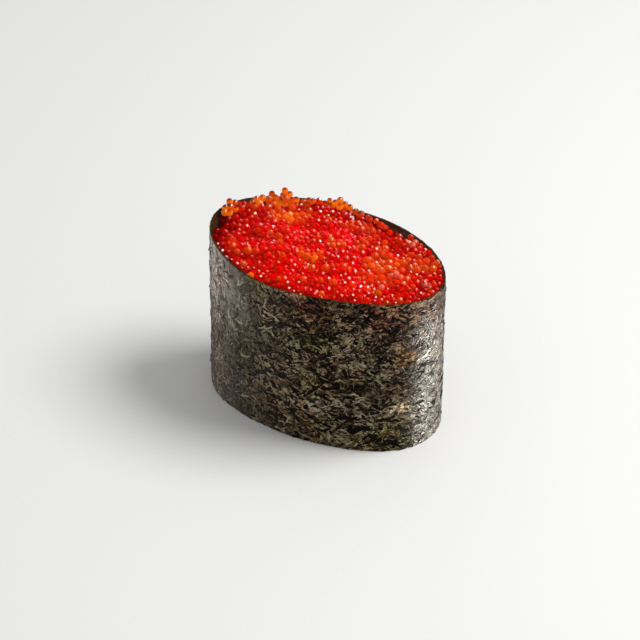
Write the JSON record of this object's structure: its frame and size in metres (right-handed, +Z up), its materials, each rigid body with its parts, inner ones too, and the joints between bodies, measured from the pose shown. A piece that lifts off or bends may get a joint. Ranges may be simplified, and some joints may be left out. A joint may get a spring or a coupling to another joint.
{
  "type": "gunkan sushi",
  "caption": "Gunkan sushi: an upright oval band of nori round a block of pressed rice, filled to the rim and above with small red fish roe.",
  "frame": {"origin": "under the middle of the piece, on the plane that it stands on", "axes": "+X along the long side of the oval, +Y across it, +Z up from the rice to the roe"},
  "size_m": [0.0512, 0.0324, 0.0385],
  "materials": {
    "nori": "felted sheet of dark seaweed flakes, olive and brown-black, faintly glossy",
    "rice": "moist cooked short grain rice, off-white and slightly translucent",
    "roe": "wet translucent eggs, red to orange, with small bright highlights"
  },
  "bodies": {
    "root": {"nori_band": "nori", "rice_block": "rice", "roe_heap": "roe"}
  },
  "joints": []
}
